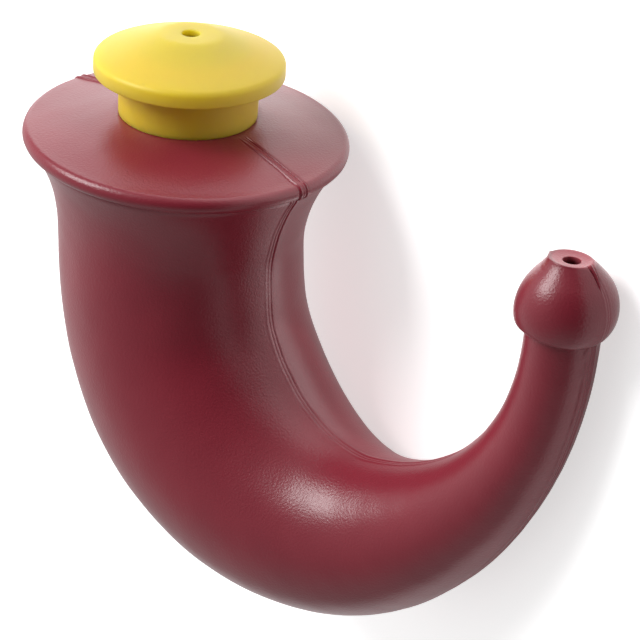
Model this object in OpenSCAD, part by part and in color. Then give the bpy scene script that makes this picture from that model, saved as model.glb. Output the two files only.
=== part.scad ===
// Horn-shaped neti pot, lying on its side: a blow-moulded horn that curves
// from a flanged fill end round to a nozzle, and a push-in stopper with a vent.
//
// Horn frame: origin at the centre of the flange's top plane, +Z out of the fill
// end, +X towards the nozzle, and the mould's parting plane at y = 0.
// lie_down() turns that frame onto the table, where the horn rests on its
// flange, its elbow and its bulb.

/* [Flange] */
// Outside radius of the flange
flange_r = 37.5; // [34:0.5:42]
// Diameter of the rounded bead round the flange
bead_d = 3.8; // [3:0.1:5]
// Height of the seat above the flange's top plane
crown_rise = 3.9; // [2:0.1:6]
// Lean of the seat and its stopper away from the nozzle, in degrees
seat_lean = 1.7; // [0:0.1:3]
// Width of the flat land round the fill hole, under the stopper's collar
land_w = 2.4; // [1.6:0.1:3.5]
// How far the bead stands out beyond the bell's mouth
bead_overhang = 1.8; // [0.8:0.1:2.2]

/* [Horn] */
// Outside radius of the body below the bell
body_r = 28.7; // [25:0.1:32]
// Height over which the bell flares
flare_h = 25.5; // [15:0.5:40]
// Sharpness of the flare: 1 is a cone, more hugs the flange
flare_power = 2.45; // [1:0.05:4]
// Distance along the centreline at which the horn starts to narrow
taper_start = 60; // [40:1:90]
// Sharpness of the narrowing towards the neck
taper_power = 2.6; // [1.5:0.1:4]
// Outside radius of the neck under the bulb
neck_r = 7.9; // [6.5:0.1:9]
// Thickness of the horn's wall
wall = 1.6; // [1.2:0.1:2.2]

/* [Centreline] */
// Straight drop below the flange
drop_len = 21; // [10:0.5:40]
// Radius of the first, gentle bend
lead_bend_r = 98; // [60:1:150]
// Angle of the gentle bend, in degrees
lead_bend_deg = 13; // [5:0.5:20]
// Radius of the elbow
elbow_r = 47.4; // [42:0.1:60]
// Angle of the elbow, in degrees
elbow_deg = 106; // [95:0.5:115]
// Radius of the rising spout
spout_r = 76.5; // [65:0.5:95]
// Angle of the rising spout, in degrees
spout_deg = 60.5; // [50:0.5:66]
// Straight neck under the bulb
neck_len = 4.5; // [2:0.5:12]

/* [Bulb] */
// Largest radius of the bulb
bulb_r = 10.6; // [9.5:0.1:13]
// Height of the bulb's widest place above its underside
bulb_mid = 4.9; // [3.5:0.1:7]
// Angle above the widest place at which the dome turns into a cone, in degrees
dome_deg = 42; // [30:1:50]
// Rounding of the bulb's lower edge
bulb_round = 1.6; // [0.8:0.1:2.5]
// Radius of the cut face at the tip
tip_r = 4.7; // [3.5:0.1:6]
// Width of the flat rim round the dish in the tip's face
tip_rim = 0.4; // [0.2:0.1:0.8]
// Depth of the dish in the tip's face
tip_dish = 0.4; // [0.2:0.1:0.8]
// Radius of the outlet
outlet_r = 1.9; // [1:0.1:2.5]
// Thickness of the bulb's end at the outlet
tip_wall = 2; // [1.4:0.1:3]

/* [Parting line] */
// Width of the raised parting line
seam_w = 1.8; // [1.2:0.1:3]
// Height of the raised parting line
seam_h = 0.35; // [0.2:0.05:0.6]
// Width of the finer parting line over the bulb
bulb_seam_w = 1; // [0.6:0.1:1.6]
// Height of the finer parting line over the bulb
bulb_seam_h = 0.2; // [0.1:0.05:0.4]

/* [Stopper] */
// Outside radius of the collar where it stands on the seat
collar_r = 15.9; // [14:0.1:18]
// Height of the collar, from the seat to the disc's rim
collar_h = 10; // [6:0.5:16]
// Widening of the collar from the seat to the disc
collar_draft = 0.2; // [0:0.05:0.5]
// Step from the collar to the plug, which rests on the seat
shoulder = 1.4; // [1:0.1:2]
// Length of the plug inside the fill hole
plug_len = 9; // [5:0.5:14]
// Clearance all round between the plug and the fill hole
plug_gap = 0.1; // [0.05:0.05:0.3]
// Length of the taper that leads the plug in
lead_in = 1.6; // [0.8:0.1:3]
// Inset of that taper at the plug's end
lead_in_inset = 0.8; // [0.4:0.1:1]
// Radius of the disc
disc_r = 21.8; // [20:0.1:26]
// Height of the disc's rim
rim_h = 3.5; // [2:0.1:5]
// Rounding of the rim's top edge
rim_round = 0.8; // [0.5:0.1:1.4]
// Rise of the conical top from the rim to the centre
cone_rise = 5.8; // [3:0.1:9]
// Radius of the flat centre of the top
top_flat_r = 6.9; // [4:0.1:9]
// Radius of the vent hole
vent_r = 2.05; // [1:0.05:3]
// Thickness of the stopper's wall
stopper_wall = 1.6; // [1.2:0.1:2]

/* [Hidden] */
$fn = 96;
horn_red = [0.47, 0.16, 0.2];
stopper_yellow = [0.9, 0.8, 0.3];

bead_r = bead_d / 2;
bead_ring = flange_r - bead_r;
bell_r = flange_r - bead_overhang;
plug_r = collar_r - shoulder;
hole_r = plug_r + plug_gap;
land_r = hole_r + land_w;
// How far a cut runs past the face that it opens, and how thin a hull's discs are
past = 1;
thin = 0.1;
// How far the crown's hollow stays inside the bead, and how deep a parting line is rooted
bead_inset = 0.5;
seam_root = wall * 0.7;

// The centreline's stretches, from the flange to the bulb: [length, bend radius]
function arc_len(r, deg) = r * deg * PI / 180;
stretches = [[drop_len, 0], [arc_len(lead_bend_r, lead_bend_deg), lead_bend_r],
    [arc_len(elbow_r, elbow_deg), elbow_r], [arc_len(spout_r, spout_deg), spout_r], [neck_len, 0]];
function total(i = 0) = i == len(stretches) ? 0 : stretches[i][0] + total(i + 1);
horn_len = total();

// A place on the centreline is [x, z, heading]; heading 0 is straight down
function advance(p, d, r) = r == 0 ? [p[0] + d * sin(p[2]), p[1] - d * cos(p[2]), p[2]]
    : let (h = p[2] + d / r * 180 / PI)
        [p[0] + r * (cos(p[2]) - cos(h)), p[1] + r * (sin(p[2]) - sin(h)), h];
function along(s, i = 0, p = [0, 0, 0]) =
    i == len(stretches) - 1 || s <= stretches[i][0] ? advance(p, s, stretches[i][1])
    : along(s - stretches[i][0], i + 1, advance(p, stretches[i][0], stretches[i][1]));

// Outside radius at a distance along the centreline: flare, body and taper
function flare(s) = (bell_r - body_r) * pow(max(0, 1 - (s - bead_d) / flare_h), flare_power);
function taper(s) = let (u = min(1, max(0, (s - taper_start) / (horn_len - taper_start))))
    neck_r + (body_r - neck_r) * pow(cos(90 * u), taper_power);
function horn_r(s) = taper(s) + flare(max(s, bead_d));

// The horn is a stack of rings square to the centreline. Its ends are sunk, the top one
// in the bead and the other in the bulb's floor.
ring_gap = 6;
sunk = 0.6;
sweep_start = bead_r + sunk / 3;
sweep_end = horn_len + wall * sunk;
ring_count = ceil((sweep_end - sweep_start) / ring_gap);
side_steps = 17;
ring_s = [for (i = [0:ring_count]) sweep_start + (sweep_end - sweep_start) * i / ring_count];

// Angles round a ring, with three close together at each parting line
function half_ring(d, from) = concat([from], [for (i = [0:side_steps])
    from + d + (180 - 2 * d) * i / side_steps]);
function ring_angles(r) = let (d = asin(seam_w / 2 / r)) concat(half_ring(d, 0), half_ring(d, 180));
function ring(s, r, ridge) = let (p = along(s), angles = ring_angles(horn_r(s)), n = len(angles))
    [for (i = [0:n - 1]) let (a = angles[i], q = r + (i % (n / 2) == 0 ? ridge : 0))
        [p[0] + q * cos(a) * cos(p[2]), q * sin(a), p[1] + q * cos(a) * sin(p[2])]];
ring_n = len(ring_angles(body_r));

module swept_shell() {
    outer = [for (s = ring_s) each ring(s, horn_r(s), seam_h)];
    inner = [for (s = ring_s) each ring(s, horn_r(s) - wall, 0)];
    m = len(outer);
    last = ring_count * ring_n;
    walls = [for (i = [0:ring_count - 1], j = [0:ring_n - 1])
        let (k = (j + 1) % ring_n, a = i * ring_n + j, b = i * ring_n + k, c = a + ring_n, d = b + ring_n)
        each [[a, b, d], [a, d, c], [m + a, m + d, m + b], [m + a, m + c, m + d]]];
    ends = [for (j = [0:ring_n - 1]) let (k = (j + 1) % ring_n)
        each [[j, m + k, k], [j, m + j, m + k],
            [last + j, last + k, m + last + k], [last + j, m + last + k, m + last + j]]];
    polyhedron(concat(outer, inner), concat(walls, ends));
}

// Puts its children on the leaning seat, with z = 0 at the seat
module on_seat() {
    translate([0, 0, crown_rise]) rotate([0, -seat_lean, 0]) children();
}

// The crowned top rises from the bead to the leaning seat, and is hollow below
module crown() {
    hull() {
        on_seat() translate([0, 0, -thin]) cylinder(h = thin, r = land_r);
        translate([0, 0, -bead_r]) cylinder(h = bead_r, r = bead_ring);
    }
}

module crown_hollow() {
    foot = bead_r + past;
    hull() {
        on_seat() translate([0, 0, -wall - thin]) cylinder(h = thin, r = land_r);
        translate([0, 0, -foot]) cylinder(h = foot - wall, r = flange_r - bead_d - bead_inset);
    }
}

module flange() {
    difference() {
        union() {
            translate([0, 0, -bead_r]) rotate_extrude() translate([bead_ring, 0]) circle(bead_r);
            crown();
        }
        crown_hollow();
    }
}

// Outline of the flange in the parting plane, grown by the parting line's height or
// shrunk to its root
module flange_outline(grow) {
    offset(r = grow, $fn = 32) hull() {
        for (side = [-1, 1]) translate([side * bead_ring, -bead_r]) circle(bead_r, $fn = 32);
        translate([0, crown_rise]) rotate(seat_lean)
            translate([-land_r, -bead_r]) square([2 * land_r, bead_r]);
    }
}

// The parting line runs round the bead and over the crown, and stops short of the land
module flange_seam() {
    inner = flange_r - bead_d;
    difference() {
        rotate([90, 0, 0]) linear_extrude(seam_w, center = true) difference() {
            flange_outline(seam_h);
            flange_outline(-seam_root);
            translate([-inner, -bead_d - past]) square([2 * inner, bead_r + past]);
        }
        on_seat() translate([0, 0, -bead_d]) cylinder(h = 2 * bead_d, r = land_r + seam_h);
    }
}

module at_bulb() {
    end = along(horn_len);
    translate([end[0], 0, end[1]]) rotate([0, 180 - end[2], 0]) children();
}

// Half outline of the bulb: floor, rounded edge, dome, and a cone up to the tip
bulb_floor_r = sqrt(pow(bulb_r - bulb_round, 2) - pow(bulb_mid - bulb_round, 2));
bulb_low_deg = atan((bulb_mid - bulb_round) / bulb_floor_r);
cone_len = (bulb_r * cos(dome_deg) - tip_r) / sin(dome_deg);
function dome_point(r, deg) = [r * cos(deg), bulb_mid + r * sin(deg)];
function dome(r) = [for (i = [0:8]) dome_point(r, -bulb_low_deg + (dome_deg + bulb_low_deg) * i / 8)];
function cone_point(r, d) = dome_point(r, dome_deg) + d * [-sin(dome_deg), cos(dome_deg)];
bulb_h = cone_point(bulb_r, cone_len)[1];
low_edge = [for (i = [0:6]) let (t = -90 + (90 - bulb_low_deg) * i / 6)
    [bulb_floor_r + bulb_round * cos(t), bulb_round + bulb_round * sin(t)]];

// The bulb's cave is set in by the wall, and its roof lies under the thick tip
cave_r = bulb_r - wall;
roof_z = bulb_h - tip_wall;
roof_r = cone_point(cave_r, (roof_z - dome_point(cave_r, dome_deg)[1]) / cos(dome_deg))[0];
cave_side = [for (p = dome(cave_r)) if (p[1] > wall) p];
cave = concat([[0, wall], [cave_side[0][0], wall]], cave_side, [[roof_r, roof_z], [0, roof_z]]);

module bulb_seam() {
    top = cone_len - tip_rim;
    crest_r = bulb_r + bulb_seam_h;
    root_r = bulb_r - wall / 2;
    crest = concat(dome(crest_r), [cone_point(crest_r, top)]);
    root = concat(dome(root_r), [cone_point(root_r, top)]);
    last = len(root) - 1;
    for (side = [0, 180]) rotate([90, 0, side]) linear_extrude(bulb_seam_w, center = true)
        polygon(concat(crest, [for (i = [last:-1:0]) root[i]]));
}

module bulb() {
    dish_z = bulb_h - tip_dish;
    tip_face = [[tip_r, bulb_h], [tip_r - tip_rim, bulb_h], [outlet_r, dish_z], [0, dish_z]];
    difference() {
        union() {
            rotate_extrude() polygon(concat([[0, 0]], low_edge, dome(bulb_r), tip_face));
            bulb_seam();
        }
        rotate_extrude() polygon(cave);
        translate([0, 0, -past]) cylinder(h = wall + 2 * past, r = neck_r - wall / 2);
        cylinder(h = bulb_h + past, r = outlet_r);
    }
}

module horn() {
    color(horn_red) lie_down() difference() {
        union() {
            swept_shell();
            flange();
            flange_seam();
            at_bulb() bulb();
        }
        on_seat() translate([0, 0, -2 * bead_d]) cylinder(h = 4 * bead_d, r = hole_r);
    }
}

// Half outlines of the stopper, from the seat up
disc_z = collar_h + rim_h;
cone_slope = cone_rise / (disc_r - rim_round - top_flat_r);
function cone_z(r) = disc_z + (disc_r - rim_round - r) * cone_slope;
top_z = cone_z(top_flat_r);
roof_drop = stopper_wall * sqrt(1 + cone_slope * cone_slope);
least_lip = 0.4;

module stopper_outside() {
    rim = [for (i = [0:5]) let (t = (90 - atan(cone_slope)) * i / 5)
        [disc_r - rim_round + rim_round * cos(t), disc_z - rim_round + rim_round * sin(t)]];
    under_r = disc_r - stopper_wall;
    collar_top_r = collar_r + collar_draft;
    under_z = max(collar_h + least_lip, cone_z(under_r) - roof_drop);
    polygon(concat([[0, -plug_len], [plug_r - lead_in_inset, -plug_len], [plug_r, lead_in - plug_len],
        [plug_r, 0], [collar_r, 0], [collar_top_r, cone_z(collar_top_r) - roof_drop],
        [under_r, under_z], [under_r, collar_h], [disc_r, collar_h]],
        rim, [[top_flat_r, top_z], [0, top_z]]));
}

module stopper_inside() {
    inner_r = plug_r - stopper_wall;
    polygon([[0, -plug_len - past], [inner_r, -plug_len - past], [inner_r, cone_z(inner_r) - roof_drop],
        [top_flat_r, top_z - roof_drop], [0, top_z - roof_drop]]);
}

module stopper() {
    color(stopper_yellow) lie_down() on_seat() difference() {
        rotate_extrude() stopper_outside();
        rotate_extrude() stopper_inside();
        cylinder(h = top_z + past, r = vent_r);
    }
}

// How the pot lies. A tilt is [rise of the fill end, dip of the nozzle end], in
// degrees, and down(tilt) is the table's direction seen from the horn frame.
function down(tilt) = [cos(tilt[0]) * sin(tilt[1]), cos(tilt[0]) * cos(tilt[1]), -sin(tilt[0])];
function row_x(tilt) = [cos(tilt[1]), -sin(tilt[1]), 0];
function row_y(tilt) = [sin(tilt[0]) * sin(tilt[1]), sin(tilt[0]) * cos(tilt[1]), cos(tilt[0])];

// How far a circle, given as [centre, axis, radius, rounding], reaches along d
function reach(c, d) = c[0] * d + c[2] * sqrt(max(0, 1 - pow(c[1] * d, 2))) + c[3];
function furthest(circles, d) = max([for (c = circles) reach(c, d)]);
function seat_point(z) = [-z * sin(seat_lean), 0, crown_rise + z * cos(seat_lean)];
seat_axis = [-sin(seat_lean), 0, cos(seat_lean)];
function bulb_point(z) = let (p = along(horn_len)) [p[0] + z * sin(p[2]), 0, p[1] - z * cos(p[2])];

flange_edge = [[[0, 0, -bead_r], [0, 0, 1], bead_ring, bead_r]];
body_rings = [for (s = ring_s) let (p = along(s))
    [[p[0], 0, p[1]], [sin(p[2]), 0, -cos(p[2])], horn_r(s), 0]];
elbow_rings = [for (i = [0:ring_count]) if (ring_s[i] > taper_start) body_rings[i]];
bulb_ball = [[bulb_point(bulb_mid), [0, 0, 1], 0, bulb_r]];
stopper_rims = [[seat_point(collar_h), seat_axis, disc_r, 0],
    [seat_point(disc_z - rim_round), seat_axis, disc_r, 0], [seat_point(top_z), seat_axis, top_flat_r, 0]];
everything = concat(flange_edge, body_rings, bulb_ball, stopper_rims);

// Tips the horn, a little at a time, until flange, elbow and bulb all touch
function settle(tilt, steps) = steps == 0 ? tilt
    : let (d = down(tilt), edge = furthest(flange_edge, d),
        body_gap = edge - furthest(elbow_rings, d), bulb_gap = edge - furthest(bulb_ball, d))
        settle(tilt + [atan(body_gap / (2 * elbow_r)), atan(bulb_gap / (2 * elbow_r))], steps - 1);
tilt = settle([9, 13.5], 40);
function middle(d) = (furthest(everything, d) - furthest(everything, -d)) / 2;

module lie_down() {
    translate([-middle(row_x(tilt)), -middle(row_y(tilt)), furthest(everything, down(tilt))])
        rotate([tilt[0], 0, 0]) rotate([0, tilt[1], 0]) rotate([-90, 0, 0]) children();
}

horn();
stopper();
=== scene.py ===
"""A horn-shaped neti pot with its yellow stopper, lying on its side."""
import math

import bpy
import numpy as np
from mathutils import Matrix, Vector


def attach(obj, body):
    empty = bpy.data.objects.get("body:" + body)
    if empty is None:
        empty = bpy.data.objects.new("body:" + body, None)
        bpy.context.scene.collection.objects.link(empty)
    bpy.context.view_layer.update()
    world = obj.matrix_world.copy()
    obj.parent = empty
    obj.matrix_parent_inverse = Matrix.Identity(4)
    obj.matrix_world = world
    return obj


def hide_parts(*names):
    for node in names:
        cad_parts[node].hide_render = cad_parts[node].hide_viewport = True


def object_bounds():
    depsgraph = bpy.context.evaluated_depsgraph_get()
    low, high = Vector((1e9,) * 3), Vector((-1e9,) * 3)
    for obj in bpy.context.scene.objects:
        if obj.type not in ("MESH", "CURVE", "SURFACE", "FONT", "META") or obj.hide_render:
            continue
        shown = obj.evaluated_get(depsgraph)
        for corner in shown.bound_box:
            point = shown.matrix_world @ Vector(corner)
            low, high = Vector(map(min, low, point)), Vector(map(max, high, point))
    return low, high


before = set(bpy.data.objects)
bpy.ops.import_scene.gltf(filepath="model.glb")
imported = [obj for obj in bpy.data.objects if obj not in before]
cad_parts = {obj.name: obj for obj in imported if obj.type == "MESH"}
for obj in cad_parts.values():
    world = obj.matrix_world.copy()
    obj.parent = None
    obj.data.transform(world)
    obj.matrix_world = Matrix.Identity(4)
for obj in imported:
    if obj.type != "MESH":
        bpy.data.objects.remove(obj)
CAD_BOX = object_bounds()

# Horn frame, in millimetres: origin at the centre of the flange's top plane, +Z out of
# the fill end, +X towards the nozzle, the mould's parting plane at y = 0
FLANGE_R = 37.5
BEAD_R = 1.9
BEAD_RING = FLANGE_R - BEAD_R
CROWN_RISE = 3.9
SEAT_LEAN = math.radians(1.7)
HOLE_R = 14.6
HOLE_LIP = 0.35
LAND_R = 17.0
LAND_EDGE = 0.3
WALL = 1.6
INNER_BEVEL = 0.2

BODY_R = 28.7
FLARE_W = 7.0
FLARE_H = 25.5
FLARE_POWER = 2.45
TAPER_START = 60.0
TAPER_POWER = 2.6
NECK_R = 7.9
# Stretches of the centreline: length along it, and the bend's radius, 0 where straight
STRETCHES = (
    (21.0, 0.0),
    (98.0 * math.radians(13.0), 98.0),
    (47.4 * math.radians(106.0), 47.4),
    (76.5 * math.radians(60.5), 76.5),
    (4.5, 0.0),
)
HORN_LEN = sum(length for length, _ in STRETCHES)

BULB_R = 10.6
BULB_MID = 4.9
DOME_END = math.radians(42.0)
BULB_ROUND = 1.6
TIP_R = 4.7
TIP_EDGE = 0.25
TIP_WALL = 2.0
TIP_DISH = 0.4
OUTLET_R = 1.9

COLLAR_R = 15.9
COLLAR_H = 10.0
COLLAR_DRAFT = 0.2
PLUG_R = 14.5
PLUG_LEN = 9.0
PLUG_LEAD = 1.6
PLUG_TAPER = 0.8
DISC_R = 21.8
RIM_H = 3.5
RIM_ROUND = 0.8
CONE_RISE = 5.8
TOP_FLAT_R = 6.9
VENT_R = 2.05
STOPPER_WALL = 1.6

# How the horn lies: rise of its fill end, dip of its nozzle end, and the place of the
# flange's centre in the part's frame
REST_RISE = math.radians(1.928)
REST_DIP = math.radians(14.067)
FLANGE_AT = Vector((-40.467, 39.822, 37.544))
MM = 0.001

LIE_DOWN = (
    Matrix.Scale(MM, 4)
    @ Matrix.Translation(FLANGE_AT)
    @ Matrix.Rotation(REST_RISE, 4, "X")
    @ Matrix.Rotation(REST_DIP, 4, "Y")
    @ Matrix.Rotation(-math.pi / 2, 4, "X")
)
TURN = np.array(LIE_DOWN.to_3x3()) / MM


def to_part(points):
    """Points in the horn frame, in millimetres, to the part's frame, in metres."""
    return (np.asarray(points, float) @ TURN.T + np.array(FLANGE_AT)) * MM


# The centreline

def advance(place, distance, bend_r):
    """The place further on along a bend, or straight on where its radius is 0."""
    x, z, heading = place
    if bend_r == 0:
        return x + distance * math.sin(heading), z - distance * math.cos(heading), heading
    turned = heading + distance / bend_r
    return (
        x + bend_r * (math.cos(heading) - math.cos(turned)),
        z + bend_r * (math.sin(heading) - math.sin(turned)),
        turned,
    )


def along(s):
    """The centreline's place at distance s: x, z and heading, where 0 is straight down."""
    place = (0.0, 0.0, 0.0)
    for length, bend_r in STRETCHES[:-1]:
        if s <= length:
            return advance(place, s, bend_r)
        place = advance(place, length, bend_r)
        s -= length
    return advance(place, s, STRETCHES[-1][1])


END_X, END_Z, END_HEADING = along(HORN_LEN)


def horn_radius(s):
    """The outside radius at distance s, from the body's taper and the bell's flare."""
    u = min(1.0, max(0.0, (s - TAPER_START) / (HORN_LEN - TAPER_START)))
    taper = NECK_R + (BODY_R - NECK_R) * max(0.0, math.cos(math.pi / 2 * u)) ** TAPER_POWER
    flare = FLARE_W * max(0.0, 1 - (max(s, 2 * BEAD_R) - 2 * BEAD_R) / FLARE_H) ** FLARE_POWER
    return taper + flare


# Every ring of the horn's skin is (x, z, heading, radius, seam, spread). The last two say
# how strongly the parting line stands out, and how wide it is beside the body's
RADIUS, SEAM, SPREAD = 3, 4, 5
# The number of rings over each stretch; those of the bead and the body come later
LIP_RINGS = 5
LAND_RINGS = 5
CROWN_RINGS = 44
FOOT_RINGS = 8
DOME_RINGS = 26
CONE_RINGS = 22
DISH_RINGS = 10
INNER_BODY_RINGS = 60
INNER_CROWN_RINGS = 8


def column(rings, n):
    """One value of every ring, as a column."""
    return np.array([ring[n] for ring in rings])[:, None]


def arc(x, y, radius, start, end, steps):
    """Points of an arc between two angles in degrees."""
    angles = np.radians(np.linspace(start, end, steps))
    return [(x + radius * math.cos(a), y + radius * math.sin(a)) for a in angles]


def rise_of_crown(r):
    return CROWN_RISE * (BEAD_RING - r) / (BEAD_RING - LAND_R)


# Where the land and the crown start and the crown ends, and the share of the crown over
# which the line rises from the land
LAND_START = HOLE_R + 0.8
CROWN_START = LAND_R + LAND_EDGE
CROWN_END = BEAD_RING - 1.2
SEAM_RISE = 0.2
# Strength and spread of the line: on the crown, more where the crown meets the bead, on
# the bead, and less from a share of the bead on
CROWN_SEAM = (0.8, 1.1)
MEETING_SEAM = (0.5, 0.2)
MEETING_WIDTH = 0.12
BEAD_SEAM = (1.25, 1.3)
BEAD_SEAM_LOSS = (0.4, 0.25)
BEAD_LOSS_FROM = 0.7
# The bead's first and last angle, and its number of rings
BEAD_ARC = (84, -72, 30)


def crown_ring(r):
    """A ring of the crown, which leans less towards the bead."""
    share = (r - CROWN_START) / (CROWN_END - CROWN_START)
    meeting = math.exp(-((1 - share) / MEETING_WIDTH) ** 2)
    seam = CROWN_SEAM[0] * min(1.0, share / SEAM_RISE) + MEETING_SEAM[0] * meeting
    spread = CROWN_SEAM[1] + MEETING_SEAM[1] * meeting
    return (0.0, rise_of_crown(r), SEAT_LEAN * (1 - share), r, seam, spread)


def top_rings():
    """From the fill hole's lip out over the land, the crown and the bead."""
    rings = []
    lip = [(HOLE_R, INNER_BEVEL - WALL), (HOLE_R, -HOLE_LIP)]
    lip += arc(HOLE_R + HOLE_LIP, -HOLE_LIP, HOLE_LIP, 180, 90, LIP_RINGS)[1:]
    for r, z in lip:
        rings.append((-z * math.sin(SEAT_LEAN), CROWN_RISE + z, SEAT_LEAN, r, 0.0, 1.0))
    for r in np.linspace(LAND_START, LAND_R - LAND_EDGE, LAND_RINGS):
        rings.append((0.0, CROWN_RISE, SEAT_LEAN, r, 0.0, 1.0))
    for r in np.linspace(CROWN_START, CROWN_END, CROWN_RINGS):
        rings.append(crown_ring(r))
    bead = arc(BEAD_RING, -BEAD_R, BEAD_R, *BEAD_ARC)
    for share, (r, z) in zip(np.linspace(0, 1, len(bead)), bead):
        fade = max(0.0, share - BEAD_LOSS_FROM) / (1 - BEAD_LOSS_FROM)
        seam = BEAD_SEAM[0] - BEAD_SEAM_LOSS[0] * fade
        spread = BEAD_SEAM[1] - BEAD_SEAM_LOSS[1] * fade
        rings.append((0.0, z, 0.0, r, seam, spread))
    return rings


# The bead overhangs a small crease at the bell's mouth, where the line is stronger too
CREASE = 0.45
CREASE_RUN = 0.9
MOUTH_SEAM = 0.8
MOUTH_SEAM_RUN = 8.0
# Rings along the body: first and last distance, and how many
BODY_START = 2 * BEAD_R + 0.1
BODY_RUNS = (
    (BODY_START, 8.0, 16),
    (8.4, 26.0, 28),
    (26.8, 149.0, 110),
    (150.0, HORN_LEN - 0.25, 110),
)


def body_rings():
    """From under the bead down the body, round the elbow and up the spout."""
    rings = []
    for s in np.concatenate([np.linspace(*run) for run in BODY_RUNS]):
        x, z, heading = along(s)
        crease = CREASE * math.exp(-((s - BODY_START) / CREASE_RUN) ** 2)
        seam = 1.0 + MOUTH_SEAM * math.exp(-(s - BODY_START) / MOUTH_SEAM_RUN)
        rings.append((x, z, heading, horn_radius(s) - crease, seam, 1.0))
    return rings


def bulb_place(h):
    return END_X + h * math.sin(END_HEADING), END_Z - h * math.cos(END_HEADING), END_HEADING


def bulb_profile(radius):
    """Radius and angle at which the dome starts, and its outline as (radius, height)."""
    floor_r = math.sqrt((radius - BULB_ROUND) ** 2 - (BULB_MID - BULB_ROUND) ** 2)
    low = math.atan2(BULB_MID - BULB_ROUND, floor_r)
    dome = arc(0, BULB_MID, radius, -math.degrees(low), math.degrees(DOME_END), DOME_RINGS)
    return floor_r, low, dome


# A cone leads from the dome to the tip
CONE_START_R = BULB_R * math.cos(DOME_END)
CONE_START_H = BULB_MID + BULB_R * math.sin(DOME_END)
BULB_H = CONE_START_H + (CONE_START_R - TIP_R) / math.tan(DOME_END)
# Strength and spread of the line on the bulb, which ends this far outside the tip
BULB_SEAM = (0.2, 0.8)
BULB_SEAM_END = 0.3
# The tip's rounded rim and the outlet's lip, as steps outwards and upwards from each
RIM_STEPS = ((0.05, -0.08), (-0.1, 0.0), (-0.35, 0.0))
LIP_STEPS = ((0.01, -0.04), (0.0, -0.12))
DISH_START = TIP_R - 0.4
DISH_END = OUTLET_R + 0.06
# Where the bulb's foot starts, and where its cone ends
FOOT_START_R = NECK_R + 0.1
CONE_END_R = TIP_R + TIP_EDGE * 0.6
CONE_END_H = BULB_H - TIP_EDGE


def bulb_path():
    """The bulb's outside from the neck to the outlet, as (radius, height)."""
    floor_r, low, dome = bulb_profile(BULB_R)
    foot = arc(floor_r, BULB_ROUND, BULB_ROUND, -90, -math.degrees(low), FOOT_RINGS)
    path = [(FOOT_START_R, 0.0)] + foot[:-1] + dome
    start_r, start_h = dome[-1]
    for share in np.linspace(0, 1, CONE_RINGS)[1:]:
        r = start_r + (CONE_END_R - start_r) * share
        path.append((r, start_h + (CONE_END_H - start_h) * share))
    path += [(TIP_R + out, BULB_H + up) for out, up in RIM_STEPS]
    for share in np.linspace(0, 1, DISH_RINGS)[1:]:
        dish = TIP_DISH * (1 - (1 - share) ** 2)
        path.append((DISH_START + (DISH_END - DISH_START) * share, BULB_H - dish))
    return path + [(OUTLET_R + out, BULB_H - TIP_DISH + up) for out, up in LIP_STEPS]


def bulb_rings():
    rings = []
    strength, spread = BULB_SEAM
    for r, h in bulb_path():
        seam = strength if r > TIP_R + BULB_SEAM_END else 0.0
        rings.append((*bulb_place(h), r, seam, spread))
    return rings


# The inside has no bead: its body starts below the flange, and its crown ends short of it
INNER_START = 3.0
INNER_CROWN_R = BEAD_RING - 2.6
INNER_EDGE = 0.3


def inner_rings():
    """The wall's inside, from the outlet back to the fill hole."""
    roof = BULB_H - TIP_WALL
    dome = [p for p in bulb_profile(BULB_R - WALL)[2] if p[1] > WALL][::2]
    end_r, end_h = dome[-1]
    roof_r = end_r - (roof - end_h) * math.tan(DOME_END)
    path = [(OUTLET_R, roof), (OUTLET_R + INNER_BEVEL, roof), (roof_r, roof)] + dome[::-1]
    path += [(dome[0][0] - INNER_EDGE, WALL), (NECK_R - WALL + INNER_EDGE, WALL)]
    rings = [(*bulb_place(h), r, 0.0, 1.0) for r, h in path]
    for s in np.linspace(HORN_LEN, INNER_START, INNER_BODY_RINGS):
        rings.append((*along(s), horn_radius(s) - WALL, 0.0, 1.0))
    for r in np.linspace(INNER_CROWN_R, LAND_R, INNER_CROWN_RINGS):
        rings.append((0.0, rise_of_crown(r) - WALL, 0.0, r, 0.0, 1.0))
    rings.append((0.0, CROWN_RISE - WALL, SEAT_LEAN, HOLE_R + INNER_BEVEL, 0.0, 1.0))
    return rings


# Points on either side of a parting line, in millimetres from it. They draw together on
# rings below this radius, and reach no further round than this sine
SEAM_POINTS = np.concatenate([np.arange(0, 1.35, 0.1), [1.5, 1.7, 1.95, 2.3]])
SMALL_RING_R = 4.5
WIDEST_SINE = 0.95
# Steps round a ring from one line's points to the other's
SIDE_STEPS = 48


def ring_angles(radius, spread):
    """Angles round a ring, clockwise, close together at both parting lines."""
    reach = SEAM_POINTS * spread * min(1.0, radius / SMALL_RING_R)
    near = np.arcsin(np.minimum(reach / radius, WIDEST_SINE))
    between_lines = np.linspace(near[-1], math.pi - near[-1], SIDE_STEPS + 1)[1:-1]
    half = np.concatenate([-near[:0:-1], near, between_lines])
    return -np.concatenate([half, half + math.pi])


def ring_points(ring):
    x, z, heading, radius, _, spread = ring
    angles = ring_angles(radius, spread)
    out = radius * np.cos(angles)
    places = [x + out * math.cos(heading), radius * np.sin(angles), z + out * math.sin(heading)]
    return np.stack(places, 1)


# The sines that a wavy field adds up, and how much their frequencies differ
WAVES = 9
WAVE_SPREAD = (0.6, 1.4)


def waviness(points, scale, seed):
    """A smooth pseudo-random field, mostly from -1 to 1, at about that wavelength."""
    rng = np.random.default_rng(seed)
    total = np.zeros(points.shape[:-1])
    for _ in range(WAVES):
        wave = rng.normal(size=3)
        wave *= 2 * math.pi / scale / np.linalg.norm(wave) * rng.uniform(*WAVE_SPREAD)
        total += np.sin(points @ wave + rng.uniform(0, 2 * math.pi))
    return total / math.sqrt(WAVES)


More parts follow.
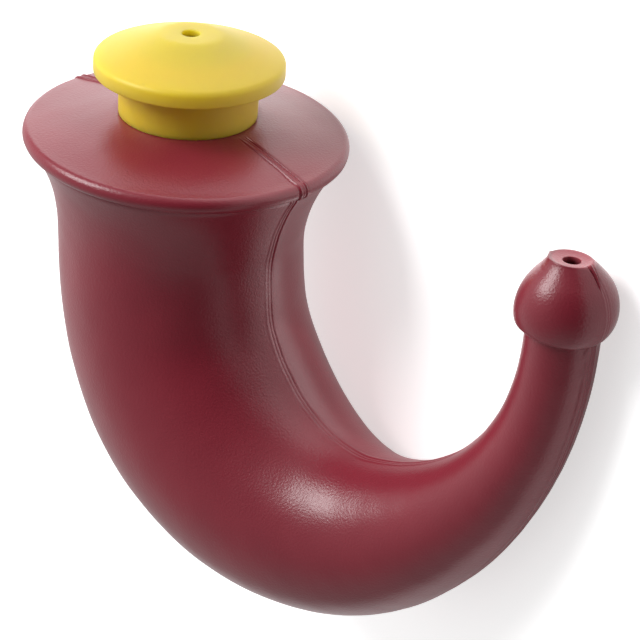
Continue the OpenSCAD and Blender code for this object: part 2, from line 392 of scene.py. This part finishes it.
def waviness_along(run, scale, seed):
    """The same for distances along a line."""
    return waviness(run[..., None] * np.array([1.0, 0, 0]), scale, seed)


def grid_normals(points):
    """Outward normals of a grid of rings, which closes both ways."""
    down = np.roll(points, -1, 0) - np.roll(points, 1, 0)
    across = np.roll(points, -1, 1) - np.roll(points, 1, 1)
    normals = np.cross(across, down)
    return normals / np.maximum(np.linalg.norm(normals, axis=2, keepdims=True), 1e-9)


def rib(value, height, centre, width):
    """A smooth rib, or a groove where its height is negative."""
    return height * np.exp(-(((value - centre) / width) ** 2))


# How a parting line strays: sideways in millimetres, over what length, and how much its
# two sides differ
TOP_STRAYS = (0.08, 19, 0.3)
BODY_STRAYS = (0.1, 23, 0.35)
SIDES_RUN = 37
# The band on the crown and the bead, as (height, half width, softness of its edge), and
# its ribs and grooves, as (height, centre, width)
BAND = (0.1, 0.95, 0.06)
EDGE_RIB = (0.24, 0.72, 0.13)
MIDDLE_RIB = (0.12, 0.08, 0.12)
OUTER_GROOVE = (-0.1, 1.12, 0.13)
INNER_GROOVE = (-0.05, 0.42, 0.1)
# The line's ribs and grooves below the flange
SHOULDER = (0.13, 1.05, 0.4)
BODY_MIDDLE = (0.04, 0.0, 0.2)
BODY_GROOVE = (-0.08, 0.46, 0.15)


def straying(y, run, strays):
    """Distance from the straying line, and how strong its two sides are there."""
    sway, sway_run, difference = strays
    side = np.abs(y - sway * waviness_along(run, sway_run, seed=5))
    strength = 1 + difference * waviness_along(run, SIDES_RUN, seed=8) * np.sign(y)
    return side, strength


def top_seam_height(y, run):
    """The parting line over the flange: a low band, a fine rib along each edge and one
    near the middle, and a groove inside and outside each edge."""
    side, strength = straying(y, run, TOP_STRAYS)
    height, half, edge = BAND
    band = height / (1 + np.exp((side - half) / edge))
    ribs = rib(side, *EDGE_RIB) * strength + rib(y, *MIDDLE_RIB)
    return band + ribs + rib(side, *OUTER_GROOVE) + rib(side, *INNER_GROOVE)


def body_seam_height(y, run):
    """The parting line below the flange: two fine grooves between low, soft shoulders."""
    side, strength = straying(y, run, BODY_STRAYS)
    shoulders = rib(side, *SHOULDER) * strength + rib(side, *BODY_MIDDLE)
    return shoulders + rib(side, *BODY_GROOVE)


# The outer parting line is flaky beside the neck, and a fine rib runs on from there. Each
# is given as (height, side, width) and the distance from the neck at which it has faded
FLAKES = (0.2, -2.3, 1.4)
FLAKES_END = 22.0
FLAKE_SIZE = 2.2
FLAKE_STRETCH = (1.0, 1.0, 0.5)
FLAKE_RANGE = (-0.6, 1.4)
FINE_RIB = (0.2, -1.6, 0.28)
FINE_RIB_FADE = 75.0
FINE_RIB_END = 105.0


def flaky_height(points, from_neck):
    """Scraps of flash and a fine rib on one side of the spout's outer parting line."""
    y = points[..., 1]
    flaky = rib(y, *FLAKES) * np.clip(1 - from_neck / FLAKES_END, 0, 1)
    waves = waviness(points * np.array(FLAKE_STRETCH), FLAKE_SIZE, seed=11)
    fading = np.clip((FINE_RIB_END - from_neck) / FINE_RIB_FADE, 0, 1)
    return flaky * np.clip(waves, *FLAKE_RANGE) + rib(y, *FINE_RIB) * fading


# The bulb sits a little askew on its neck, and is a little out of round: where its skin
# faces a way it swells by a height in millimetres, negative for a dent, and the more
# narrowly the higher the power
BULB_TURN = math.radians(-2.4)
BULB_TURN_AXIS = Vector((0.57, -0.66, 0.48))
BULB_SWELLS = (
    ((-0.57, -0.75, -0.34), 8, 0.4),
    ((-0.81, -0.43, 0.37), 8, -0.25),
    ((0.71, 0.24, -0.66), 10, -0.7),
)
# The swells end this far below the tip's rim
SWELLS_END = 2.0


def bulb_swell(normals):
    """How far the bulb stands out from a true revolve, by the way that its skin faces."""
    total = 0.0
    for way, power, height in BULB_SWELLS:
        total = total + height * np.clip(normals @ np.array(way), 0, 1) ** power
    return total


# The nozzle's tip was cut a little askew: it is shifted one way, and rises another way.
# In what follows, h is the height above the neck's end
TIP_SHIFT = 1.2
TIP_SHIFT_WAY = (-0.76, -0.65)
TIP_TILT = 0.42
TIP_TILT_WAY = (0.81, -0.59)
# Its parting line is torn there. A folded wedge runs down on one side, its middle from
# FOLD_TOP at the rim to FOLD_FOOT, and it narrows down to the least half width
FOLD_LEN = 3.3
FOLD_HALF = 0.72
FOLD_LEAST_HALF = 0.05
FOLD_TOP = 0.6
FOLD_FOOT = -0.7
FOLD_EDGE = 0.35
# It reaches this far above the rim and beyond its length, and in from the rim
FOLD_MARGINS = (0.1, 1.0)
FOLD_INSET = 0.2
# Its ridge, as height, centre by the half width, least width, and growth by the half width
FOLD_RIDGE = (0.32, -0.2, 0.1, 0.32)
# The crease beside each of its edges, as (height, distance, width)
DEEP_CREASE = (-0.26, 0.1, 0.16)
SHALLOW_CREASE = (-0.12, 0.05, 0.14)
# A scrap of flash stands on the other side: (height, centre, width) across, this far
# beyond the middle, and its place below the rim and its width along
FLASH = (0.4, -0.6, 0.45)
FLASH_FROM = 0.6 * TIP_R
FLASH_BELOW = 0.5
FLASH_LEN = 0.4


def fold_height(points, h):
    """The torn wedge below the tip's rim, on the side away from the body."""
    down = BULB_H - h
    share = np.clip(down / FOLD_LEN, 0, 1)
    half = FOLD_HALF * (1 - share) + FOLD_LEAST_HALF
    y = points[..., 1] - FOLD_TOP * (1 - share) - FOLD_FOOT * share
    above, beyond = FOLD_MARGINS
    near = (points[..., 0] > END_X) & (down > -above) & (down < FOLD_LEN + beyond)
    fade = 1 / (1 + np.exp((down - FOLD_LEN) / FOLD_EDGE))
    depth, distance, width = DEEP_CREASE
    creases = rib(y, depth, -half - distance, width)
    depth, distance, width = SHALLOW_CREASE
    creases = creases + rib(y, depth, half + distance, width)
    height, centre, width, growth = FOLD_RIDGE
    ridge = rib(y, height, centre * half, width + growth * half)
    return near * fade * (creases + ridge)


def flash_height(points, h, radii):
    """A scrap of flash just under the tip's rim, on the side towards the body."""
    near = (points[..., 0] < END_X - FLASH_FROM) & (radii > TIP_R)
    return near * rib(points[..., 1], *FLASH) * rib(h, 1.0, BULB_H - FLASH_BELOW, FLASH_LEN)


# How uneven the line's strength and the skin are, as (amount, wavelength), and the first
# ring whose skin is uneven
SEAM_UNEVEN = (0.3, 25)
SKIN_SWELL = (0.05, 26)
SKIN_RIPPLE = (0.02, 8)
UNEVEN_FROM = 8


def skin_height(rings, points, body_start, neck, inside_start):
    """How far the skin stands out: the parting lines, the flakes and its unevenness."""
    at = np.arange(len(rings))[:, None]
    below = at >= body_start
    steps = [math.dist(a[:2], b[:2]) + abs(a[3] - b[3]) for a, b in zip(rings, rings[1:])]
    run = np.concatenate([[0], np.cumsum(steps)])[:, None] * np.ones(points.shape[1])
    amount, scale = SEAM_UNEVEN
    strength = column(rings, SEAM) * (1 + amount * waviness_along(run, scale, seed=6))
    y = points[..., 1] / column(rings, SPREAD)
    line = np.where(below, body_seam_height(y, run), top_seam_height(y, run))
    outer_side = np.arange(points.shape[1]) >= points.shape[1] // 2
    flaky = below * (at < neck) * outer_side
    amount, scale = SKIN_SWELL
    swell = amount * waviness(points, scale, seed=1)
    amount, scale = SKIN_RIPPLE
    ripple = amount * waviness(points, scale, seed=2)
    uneven = (at >= UNEVEN_FROM) & (at < inside_start)
    height = strength * line + flaky * flaky_height(points, run[neck] - run)
    return height + uneven * (swell + ripple)


def bulb_height(points, normals, h, radii):
    """How far the bulb's skin stands out: its tear, its flash and its swells."""
    fold = fold_height(points, h) * (radii > TIP_R - FOLD_INSET)
    swell = (h < BULB_H - SWELLS_END) * bulb_swell(normals)
    return fold + flash_height(points, h, radii) + swell


def set_bulb_askew(points, at_bulb, h):
    """The horn's points with its tip shifted and tilted, and its bulb turned."""
    lift = np.clip((h - BULB_MID) / (BULB_H - BULB_MID), 0, None)
    near_end = points[..., 0] > END_X - BULB_R - 1
    skew = near_end * TIP_SHIFT * lift ** 6
    points[..., 0] += skew * TIP_SHIFT_WAY[0]
    points[..., 1] += skew * TIP_SHIFT_WAY[1]
    tilt_x, tilt_y = TIP_TILT_WAY
    towards = (points[..., 0] - END_X) * tilt_x + points[..., 1] * tilt_y
    points[..., 2] += at_bulb * TIP_TILT * lift ** 2 * (1 + towards / TIP_R)
    middle = np.array([END_X, 0.0, END_Z + BULB_MID])
    turn = np.array(Matrix.Rotation(BULB_TURN, 3, BULB_TURN_AXIS))
    turned = (points - middle) @ turn.T + middle
    return np.where(at_bulb[..., None], turned, points)


def horn_mesh():
    """The whole shell as a grid: over the outside to the outlet, and back inside."""
    top, body, bulb = top_rings(), body_rings(), bulb_rings()
    rings = top + body + bulb + inner_rings()
    neck = len(top) + len(body)
    inside_start = neck + len(bulb)
    at = np.arange(len(rings))[:, None]
    at_bulb = (at >= neck) & (at < inside_start)
    points = np.array([ring_points(ring) for ring in rings])
    normals = grid_normals(points)
    h = points[..., 2] - END_Z
    height = skin_height(rings, points, len(top), neck, inside_start)
    height = height + at_bulb * bulb_height(points, normals, h, column(rings, RADIUS))
    return set_bulb_askew(points + normals * height[..., None], at_bulb, h)


def add_piece(name, points, material, body, node):
    """A grid of rings that closes both ways, as a smooth piece that stands for a node."""
    rows, cols = points.shape[:2]
    verts = to_part(points.reshape(-1, 3)).clip(CAD_BOX[0], CAD_BOX[1])
    i, j = np.meshgrid(np.arange(rows), np.arange(cols), indexing="ij")
    k, m = (i + 1) % rows, (j + 1) % cols
    faces = np.stack([i * cols + j, i * cols + m, k * cols + m, k * cols + j], -1).reshape(-1, 4)
    mesh = bpy.data.meshes.new(name)
    mesh.from_pydata(verts.tolist(), [], faces.tolist())
    mesh.shade_smooth()
    mesh.update()
    piece = bpy.data.objects.new(name, mesh)
    bpy.context.scene.collection.objects.link(piece)
    mesh.materials.append(material)
    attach(piece, body)
    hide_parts(node)


# The stopper: a revolve about the leaning seat's axis, z = 0 at the seat
CONE_SLOPE = CONE_RISE / (DISC_R - RIM_ROUND - TOP_FLAT_R)
DISC_Z = COLLAR_H + RIM_H
TOP_Z = DISC_Z + CONE_RISE
ROOF_DROP = STOPPER_WALL * math.sqrt(1 + CONE_SLOPE ** 2)
# Roundings of its corners, the longest straight step and the steps round it
SOFT = 0.35
CRISP = 0.1
RIM_FOOT = 0.45
RIM_TOP = 1.1
CONE_TOP = 1.0
LONGEST_STEP = 1.2
STEPS_ROUND = 180
# The most of a side that one rounding takes
MOST_OF_SIDE = 0.45


def cone_z(r):
    return DISC_Z + (DISC_R - RIM_ROUND - r) * CONE_SLOPE


def rounded(corners, steps=7):
    """A closed outline of (r, z, rounding) corners, each rounded by a quadratic curve."""
    out = []
    points = np.array([corner[:2] for corner in corners], float)
    for n, (_, _, radius) in enumerate(corners):
        here = points[n]
        before = points[n - 1] - here
        after = points[(n + 1) % len(points)] - here
        side, next_side = np.linalg.norm(before), np.linalg.norm(after)
        cut = min(radius, MOST_OF_SIDE * side, MOST_OF_SIDE * next_side)
        a = here + before / side * cut
        b = here + after / next_side * cut
        for t in np.linspace(0, 1, steps):
            out.append((1 - t) ** 2 * a + 2 * t * (1 - t) * here + t * t * b)
    return np.array(out)


def refine(outline, step):
    """The outline with its long straight stretches split."""
    out = []
    for a, b in zip(outline, np.roll(outline, -1, 0)):
        parts = max(1, int(math.ceil(np.linalg.norm(b - a) / step)))
        out += [a + (b - a) * n / parts for n in range(parts)]
    return np.array(out)


def stopper_outline():
    """Half the stopper's section: down its inside, and up the plug, collar and disc."""
    plug_in = PLUG_R - STOPPER_WALL
    under_r = DISC_R - STOPPER_WALL
    collar_top = COLLAR_R + COLLAR_DRAFT
    corners = [
        (VENT_R, TOP_Z, SOFT),
        (VENT_R, TOP_Z - ROOF_DROP, SOFT),
        (TOP_FLAT_R, TOP_Z - ROOF_DROP, SOFT),
        (plug_in, cone_z(plug_in) - ROOF_DROP, SOFT),
        (plug_in, -PLUG_LEN, SOFT),
        (PLUG_R - PLUG_TAPER, -PLUG_LEN, SOFT),
        (PLUG_R, PLUG_LEAD - PLUG_LEN, SOFT),
        (PLUG_R, 0.0, CRISP),
        (COLLAR_R, 0.0, SOFT),
        (collar_top, cone_z(collar_top) - ROOF_DROP, SOFT),
        (under_r, cone_z(under_r) - ROOF_DROP + 0.05, SOFT),
        (under_r, COLLAR_H, SOFT),
        (DISC_R, COLLAR_H, RIM_FOOT),
        (DISC_R, DISC_Z + 0.1, RIM_TOP),
        (TOP_FLAT_R, TOP_Z, CONE_TOP),
    ]
    return refine(rounded(corners), LONGEST_STEP)


def stopper_mesh():
    outline = stopper_outline()
    turns = np.linspace(0, 2 * math.pi, STEPS_ROUND, endpoint=False)
    r, z = outline[:, 0][:, None], outline[:, 1][:, None]
    points = np.stack([r * np.cos(turns), r * np.sin(turns), z * np.ones_like(turns)], -1)
    lean = np.array(Matrix.Rotation(-SEAT_LEAN, 3, "Y"))
    return points @ lean.T + np.array([0, 0, CROWN_RISE])


# Materials

def new_material(name, values):
    """A material with its node tree and its shader, whose inputs are set."""
    material = bpy.data.materials.new(name)
    material.use_nodes = True
    tree = material.node_tree
    shader = tree.nodes["Principled BSDF"]
    for key, value in values.items():
        shader.inputs[key].default_value = value
    return material, tree, shader


def node(tree, kind, inputs=None, **settings):
    """A node whose inputs are each set to a value or linked from a socket."""
    made = tree.nodes.new(kind)
    for key, value in settings.items():
        setattr(made, key, value)
    for key, value in (inputs or {}).items():
        if isinstance(value, bpy.types.NodeSocket):
            tree.links.new(value, made.inputs[key])
        else:
            made.inputs[key].default_value = value
    return made


def calculated(tree, operation, *terms, kind="ShaderNodeMath"):
    """The result of a math node, or of the kind of node that is named."""
    return node(tree, kind, dict(enumerate(terms)), operation=operation).outputs["Value"]


def between(tree, value, ends, curve="SMOOTHSTEP"):
    """0 at the first end and 1 at the second, on a smooth curve or the one named."""
    inputs = {"Value": value, "From Min": ends[0], "From Max": ends[1]}
    steps = node(tree, "ShaderNodeMapRange", inputs, interpolation_type=curve)
    return steps.outputs["Result"]


def distance_from(tree, place, centre):
    return calculated(tree, "DISTANCE", place, centre, kind="ShaderNodeVectorMath")


# The grain's scale and strength on each piece, and its depth
HORN_GRAIN = (1900.0, 0.32)
STOPPER_GRAIN = (900.0, 0.06)
GRAIN_DEPTH = 0.0002


def add_grain(tree, shader, place, scale, strength):
    """The moulded skin's fine grain, as a bump in the material."""
    grain = node(tree, "ShaderNodeTexNoise", {"Vector": place, "Scale": scale, "Detail": 2.0})
    heights = {"Height": grain.outputs["Fac"], "Strength": strength, "Distance": GRAIN_DEPTH}
    raised = node(tree, "ShaderNodeBump", heights)
    tree.links.new(raised.outputs["Normal"], shader.inputs["Normal"])


HORN_LOOKS = {
    "Roughness": 0.32,
    "Specular IOR Level": 0.5,
}
# The skin's two tones, as places on a cloudy noise and colours
HORN_TONES = (
    (0.3, (0.205, 0.0175, 0.031, 1)),
    (0.7, (0.24, 0.021, 0.036, 1)),
)
CLOUD_SCALE = 38.0
# The cut face of the tip is paler, up to this distance from its middle
CUT_TONE = (0.36, 0.06, 0.08, 1)
CUT_EDGE = (0.0048, 0.0044)


def horn_material():
    material, tree, shader = new_material("burgundy_polyethylene", HORN_LOOKS)
    place = node(tree, "ShaderNodeTexCoord").outputs["Object"]
    noise = {"Vector": place, "Scale": CLOUD_SCALE, "Detail": 3.0}
    cloud = node(tree, "ShaderNodeTexNoise", noise)
    tone = node(tree, "ShaderNodeValToRGB", {"Fac": cloud.outputs["Fac"]})
    for stop, (position, colour) in zip(tone.color_ramp.elements, HORN_TONES):
        stop.position = position
        stop.color = colour
    tip = Vector(to_part([(END_X, 0.0, END_Z + BULB_H)])[0])
    cut = between(tree, distance_from(tree, place, tip), CUT_EDGE, "LINEAR")
    tones = {0: cut, 6: tone.outputs["Color"], 7: CUT_TONE}
    mixed = node(tree, "ShaderNodeMix", tones, data_type="RGBA")
    tree.links.new(mixed.outputs[2], shader.inputs["Base Color"])
    add_grain(tree, shader, place, *HORN_GRAIN)
    return material


STOPPER_LOOKS = {
    "Base Color": (0.78, 0.52, 0.03, 1),
    "Roughness": 0.5,
    "Subsurface Weight": 1.0,
    "Subsurface Radius": (0.85, 0.8, 0.12),
    "Subsurface Scale": 0.009,
}


def stopper_material():
    material, tree, shader = new_material("yellow_polyethylene", STOPPER_LOOKS)
    place = node(tree, "ShaderNodeTexCoord").outputs["Object"]
    add_grain(tree, shader, place, *STOPPER_GRAIN)
    return material


# The room: white all round, a pale floor, one soft lamp and the camera

# Bright sides of the room: azimuth and elevation in degrees, and strength. The side that
# the camera looks from is left dim, so that the horn's middle reflects no white
BRIGHT_SIDES = (
    (180, 15, 1.05),
    (232, 20, 0.7),
    (295, 18, 0.55),
    (100, 20, 0.65),
    (200, 60, 0.3),
    (0, 90, 0.25),
)
SIDE_NARROWNESS = 6.0
ROOM_LIGHT = 1.28


def direction(azimuth, elevation):
    turn, lift = math.radians(azimuth), math.radians(elevation)
    level = math.cos(lift)
    return Vector((math.cos(turn) * level, math.sin(turn) * level, math.sin(lift)))


def room_brightness(tree):
    """How white the room looks in each direction, from 0 to about 1."""
    ray = node(tree, "ShaderNodeTexCoord").outputs["Generated"]
    total = 0.0
    for azimuth, elevation, strength in BRIGHT_SIDES:
        way = direction(azimuth, elevation)
        facing = calculated(tree, "DOT_PRODUCT", ray, way, kind="ShaderNodeVectorMath")
        ahead = calculated(tree, "MAXIMUM", facing, 0.0)
        side = calculated(tree, "POWER", ahead, SIDE_NARROWNESS)
        total = calculated(tree, "MULTIPLY_ADD", side, strength, total)
    return total


def seen_plainly(tree, rays):
    """1 for rays from the camera and rays that pass through a clear thing, else 0."""
    return calculated(tree, "MAXIMUM", rays["Is Camera Ray"], rays["Is Transmission Ray"])


def make_world():
    """White to the camera, dimmed by direction in reflections, and brighter as light."""
    world = bpy.data.worlds.new("room")
    bpy.context.scene.world = world
    world.use_nodes = True
    tree = world.node_tree
    rays = node(tree, "ShaderNodeLightPath").outputs
    room = room_brightness(tree)
    light = calculated(tree, "MULTIPLY", room, ROOM_LIGHT)
    kinds = {"Factor": rays["Is Glossy Ray"], "A": light, "B": room}
    mirrored = node(tree, "ShaderNodeMix", kinds).outputs["Result"]
    kinds = {"Factor": seen_plainly(tree, rays), "A": mirrored, "B": 1.0}
    level = node(tree, "ShaderNodeMix", kinds).outputs["Result"]
    background = tree.nodes["Background"]
    background.inputs["Color"].default_value = (1, 1, 1, 1)
    tree.links.new(level, background.inputs["Strength"])


FLOOR_HALF = 3.0
FLOOR_LOOKS = {
    "Base Color": (0.8, 0.8, 0.8, 1),
    "Roughness": 1.0,
    "Specular IOR Level": 0.0,
    "Emission Color": (1, 1, 1, 1),
}
FLOOR_GLOW = 0.6
# How white the floor is in reflections: past the horn's fill end, and elsewhere. The
# edges say where the first begins and where it is full
SHINE_PAST_END = 1.22
SHINE_ELSEWHERE = 0.24
SHINE_EDGE_X = (0.09, 0.055)
SHINE_EDGE_Y = (0.028, 0.042)
# Light comes off the floor in the crook, on to the insides of the body and the spout
CROOK_AT = (-0.004, 0.0, 0.0)
CROOK_HALF = (0.05, 0.04, 1.0)
CROOK_EDGE = (1.0, 0.3)
CROOK_LIGHT = 1.6
CROOK_SHINE = 0.2
# A small bright spot in its middle is mirrored beside the inner parting line
SPOT_AT = (0.004, 0.005, 0.0)
SPOT_EDGE = (0.015, 0.003)
SPOT_SHINE = 2.5


def crook_share(tree, place):
    """1 in the middle of the crook, and 0 outside it."""
    inputs = {"Vector": place, "Location": CROOK_AT, "Scale": CROOK_HALF}
    from_crook = node(tree, "ShaderNodeMapping", inputs, vector_type="TEXTURE")
    vector = from_crook.outputs["Vector"]
    away = calculated(tree, "LENGTH", vector, kind="ShaderNodeVectorMath")
    return between(tree, away, CROOK_EDGE)


def floor_shine(tree, place, crook):
    """How white the floor is in reflections."""
    axes = node(tree, "ShaderNodeSeparateXYZ", {"Vector": place}).outputs
    past_x = between(tree, axes["X"], SHINE_EDGE_X)
    past_y = between(tree, axes["Y"], SHINE_EDGE_Y)
    past_end = calculated(tree, "MULTIPLY", past_x, past_y)
    levels = {"Value": past_end, "To Min": SHINE_ELSEWHERE, "To Max": SHINE_PAST_END}
    shine = node(tree, "ShaderNodeMapRange", levels).outputs["Result"]
    shine = calculated(tree, "MULTIPLY_ADD", crook, CROOK_SHINE, shine)
    spot = between(tree, distance_from(tree, place, Vector(SPOT_AT)), SPOT_EDGE)
    return calculated(tree, "MULTIPLY_ADD", spot, SPOT_SHINE, shine)


def floor_emission(tree):
    """What comes off the floor, which depends on the kind of ray."""
    rays = node(tree, "ShaderNodeLightPath").outputs
    place = node(tree, "ShaderNodeTexCoord").outputs["Object"]
    crook = crook_share(tree, place)
    shown = calculated(tree, "MULTIPLY", seen_plainly(tree, rays), FLOOR_GLOW)
    shed = calculated(tree, "MULTIPLY", crook, rays["Is Diffuse Ray"])
    base = calculated(tree, "MULTIPLY_ADD", shed, CROOK_LIGHT, shown)
    shine = floor_shine(tree, place, crook)
    return calculated(tree, "MULTIPLY_ADD", rays["Is Glossy Ray"], shine, base)


def make_floor():
    mesh = bpy.data.meshes.new("floor")
    signs = ((-1, -1), (1, -1), (1, 1), (-1, 1))
    corners = [(x * FLOOR_HALF, y * FLOOR_HALF, 0) for x, y in signs]
    mesh.from_pydata(corners, [], [(0, 1, 2, 3)])
    floor = bpy.data.objects.new("floor", mesh)
    bpy.context.scene.collection.objects.link(floor)
    material, tree, shader = new_material("pale_floor", FLOOR_LOOKS)
    tree.links.new(floor_emission(tree), shader.inputs["Emission Strength"])
    mesh.materials.append(material)


# The lamp: azimuth and elevation, distance, the point it faces, side and power
LAMP_WAY = (119, 48)
LAMP_FAR = 0.9
LAMP_AT = direction(*LAMP_WAY) * LAMP_FAR
LAMP_TARGET = Vector((0, 0, 0.035))
LAMP_SIDE = 0.43
LAMP_POWER = 7.0


def make_lamp():
    data = bpy.data.lights.new("key_lamp", "AREA")
    data.shape = "RECTANGLE"
    data.size = LAMP_SIDE
    data.size_y = LAMP_SIDE
    data.energy = LAMP_POWER
    lamp = bpy.data.objects.new("key_lamp", data)
    lamp.location = LAMP_AT
    lamp.rotation_euler = (LAMP_TARGET - LAMP_AT).to_track_quat("-Z", "Y").to_euler()
    bpy.context.scene.collection.objects.link(lamp)


# The camera's axes and place in the part's frame, fitted to the photograph
CAMERA_RIGHT = Vector((0.53518, 0.10947, -0.83762))
CAMERA_UP = Vector((-0.44758, 0.87769, -0.17126))
CAMERA_AT = Vector((399.42, 267.61, 312.03)) * MM
FOCAL_PIXELS = 2463.0
FRAME_PIXELS = 640.0
SENSOR_WIDTH = 36.0


def make_camera():
    data = bpy.data.cameras.new("camera")
    data.sensor_fit = "HORIZONTAL"
    data.sensor_width = SENSOR_WIDTH
    data.lens = SENSOR_WIDTH * FOCAL_PIXELS / FRAME_PIXELS
    camera = bpy.data.objects.new("camera", data)
    back = CAMERA_RIGHT.cross(CAMERA_UP)
    turn = Matrix((CAMERA_RIGHT, CAMERA_UP, back)).transposed()
    camera.matrix_world = Matrix.Translation(CAMERA_AT) @ turn.to_4x4()
    bpy.context.scene.collection.objects.link(camera)
    bpy.context.scene.camera = camera


bpy.context.scene.view_settings.view_transform = "Standard"
add_piece("horn_shell", horn_mesh(), horn_material(), "horn", "horn")
add_piece("vented_stopper", stopper_mesh(), stopper_material(), "stopper", "stopper")
make_world()
make_floor()
make_lamp()
make_camera()
